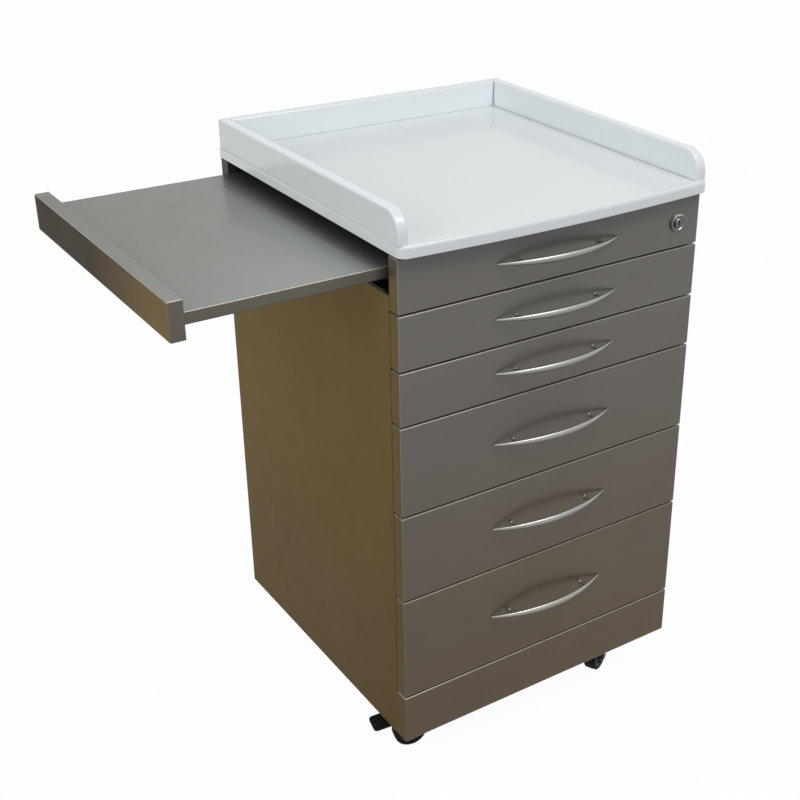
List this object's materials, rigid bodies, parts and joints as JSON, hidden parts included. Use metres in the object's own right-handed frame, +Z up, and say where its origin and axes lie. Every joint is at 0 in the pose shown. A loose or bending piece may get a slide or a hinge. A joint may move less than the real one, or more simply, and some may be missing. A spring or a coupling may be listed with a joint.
{
  "type": "mobile dental cabinet with drawers",
  "caption": "Floor-standing mobile dental cabinet on swivel castors: steel drawers with bow handles, a top lock, a side pull-out shelf and a white worktop with a raised rim.",
  "frame": {"origin": "on the floor under the middle of the carcass, halfway between its sides and between its front plane and its back", "axes": "+Z up; +X along the front to the user's right; +Y to the back, so the drawers open along -Y and the shelf is pulled out along -X"},
  "size_m": [0.761, 0.5142, 0.856],
  "materials": {
    "painted_steel": "high gloss metallic grey-taupe enamel",
    "drawer_steel": "satin light grey powder coat",
    "white_gloss": "white gloss laminate",
    "satin_handle": "satin nickel",
    "lock_chrome": "polished chrome",
    "zinc": "bright zinc plate",
    "screws": "zinc-plated screw heads",
    "tyre": "matt black tread",
    "castor_plastic": "black moulded plastic"
  },
  "bodies": {
    "carcass": {"side_panel_left": "painted_steel", "side_panel_right": "painted_steel", "back_panel": "painted_steel", "base_pan": "drawer_steel", "plinth_panel": "painted_steel", "top_frame": "drawer_steel", "tray_slab": "white_gloss", "gallery_left": "white_gloss", "gallery_rear": "white_gloss", "gallery_right": "white_gloss", "runner_uprights": "zinc", "drawer_runners_fixed": "zinc", "shelf_rails": "zinc", "shelf_runners_fixed": "zinc", "lock_catch": "zinc", "castor_plates": "zinc", "carcass_screws": "screws"},
    "drawer_1": {"drawer_1_front": "painted_steel", "drawer_1_box": "drawer_steel", "drawer_1_handle": "satin_handle", "drawer_1_runners": "zinc", "lock_housing": "lock_chrome", "lock_nut": "zinc"},
    "drawer_2": {"drawer_2_front": "painted_steel", "drawer_2_box": "drawer_steel", "drawer_2_handle": "satin_handle", "drawer_2_runners": "zinc"},
    "drawer_3": {"drawer_3_front": "painted_steel", "drawer_3_box": "drawer_steel", "drawer_3_handle": "satin_handle", "drawer_3_runners": "zinc"},
    "drawer_4": {"drawer_4_front": "painted_steel", "drawer_4_box": "drawer_steel", "drawer_4_handle": "satin_handle", "drawer_4_runners": "zinc"},
    "drawer_5": {"drawer_5_front": "painted_steel", "drawer_5_box": "drawer_steel", "drawer_5_handle": "satin_handle", "drawer_5_runners": "zinc"},
    "drawer_6": {"drawer_6_front": "painted_steel", "drawer_6_box": "drawer_steel", "drawer_6_handle": "satin_handle", "drawer_6_runners": "zinc"},
    "shelf": {"shelf_deck": "painted_steel", "shelf_end_board": "painted_steel", "shelf_end_cover": "drawer_steel", "shelf_runners_moving": "zinc"},
    "lock": {"lock_plug": "lock_chrome", "lock_cam": "zinc"},
    "castor_fl": {"castor_fork_fl": "zinc"},
    "wheel_fl": {"castor_wheel_fl": "tyre"},
    "pedal_fl": {"brake_pedal_fl": "castor_plastic"},
    "castor_fr": {"castor_fork_fr": "zinc"},
    "wheel_fr": {"castor_wheel_fr": "tyre"},
    "castor_rl": {"castor_fork_rl": "zinc"},
    "wheel_rl": {"castor_wheel_rl": "tyre"},
    "castor_rr": {"castor_fork_rr": "zinc"},
    "wheel_rr": {"castor_wheel_rr": "tyre"},
    "pedal_rr": {"brake_pedal_rr": "castor_plastic"}
  },
  "joints": [
    {"name": "drawer_1_slide", "type": "slide", "parent": "carcass", "child": "drawer_1", "axis": [0, -1, 0], "range_m": [0, 0.3]},
    {"name": "drawer_2_slide", "type": "slide", "parent": "carcass", "child": "drawer_2", "axis": [0, -1, 0], "range_m": [0, 0.3]},
    {"name": "drawer_3_slide", "type": "slide", "parent": "carcass", "child": "drawer_3", "axis": [0, -1, 0], "range_m": [0, 0.3]},
    {"name": "drawer_4_slide", "type": "slide", "parent": "carcass", "child": "drawer_4", "axis": [0, -1, 0], "range_m": [0, 0.3]},
    {"name": "drawer_5_slide", "type": "slide", "parent": "carcass", "child": "drawer_5", "axis": [0, -1, 0], "range_m": [0, 0.3]},
    {"name": "drawer_6_slide", "type": "slide", "parent": "carcass", "child": "drawer_6", "axis": [0, -1, 0], "range_m": [0, 0.3]},
    {"name": "shelf_slide", "type": "slide", "parent": "carcass", "child": "shelf", "axis": [1, 0, 0], "range_m": [0, 0.276]},
    {"name": "lock_turn", "type": "hinge", "parent": "drawer_1", "child": "lock", "pos_m": [0.201, -0.2295, 0.76175], "axis": [0, 1, 0], "range_deg": [0, 90]},
    {"name": "castor_fl_swivel", "type": "hinge", "parent": "carcass", "child": "castor_fl", "pos_m": [-0.1705, -0.1765, 0.0655], "axis": [0, 0, 1], "continuous": true},
    {"name": "wheel_fl_spin", "type": "hinge", "parent": "castor_fl", "child": "wheel_fl", "pos_m": [-0.19202, -0.17193, 0.025], "axis": [-0.2079, -0.9781, 0], "continuous": true},
    {"name": "brake_fl_press", "type": "hinge", "parent": "castor_fl", "child": "pedal_fl", "pos_m": [-0.19593, -0.17109, 0.0545], "axis": [-0.2079, -0.9781, 0], "range_deg": [0, 6.5]},
    {"name": "castor_fr_swivel", "type": "hinge", "parent": "carcass", "child": "castor_fr", "pos_m": [0.1705, -0.1765, 0.0655], "axis": [0, 0, 1], "continuous": true},
    {"name": "wheel_fr_spin", "type": "hinge", "parent": "castor_fr", "child": "wheel_fr", "pos_m": [0.15107, -0.18683, 0.025], "axis": [0.4695, -0.8829, 0], "continuous": true},
    {"name": "castor_rl_swivel", "type": "hinge", "parent": "carcass", "child": "castor_rl", "pos_m": [-0.1705, 0.1765, 0.0655], "axis": [0, 0, 1], "continuous": true},
    {"name": "wheel_rl_spin", "type": "hinge", "parent": "castor_rl", "child": "wheel_rl", "pos_m": [-0.14915, 0.18182, 0.025], "axis": [-0.2419, 0.9703, 0], "continuous": true},
    {"name": "castor_rr_swivel", "type": "hinge", "parent": "carcass", "child": "castor_rr", "pos_m": [0.1705, 0.1765, 0.0655], "axis": [0, 0, 1], "continuous": true},
    {"name": "wheel_rr_spin", "type": "hinge", "parent": "castor_rr", "child": "wheel_rr", "pos_m": [0.14946, 0.17007, 0.025], "axis": [0.2924, -0.9563, 0], "continuous": true},
    {"name": "brake_rr_press", "type": "hinge", "parent": "castor_rr", "child": "pedal_rr", "pos_m": [0.14564, 0.1689, 0.0545], "axis": [0.2924, -0.9563, 0], "range_deg": [0, 6.5]}
  ]
}
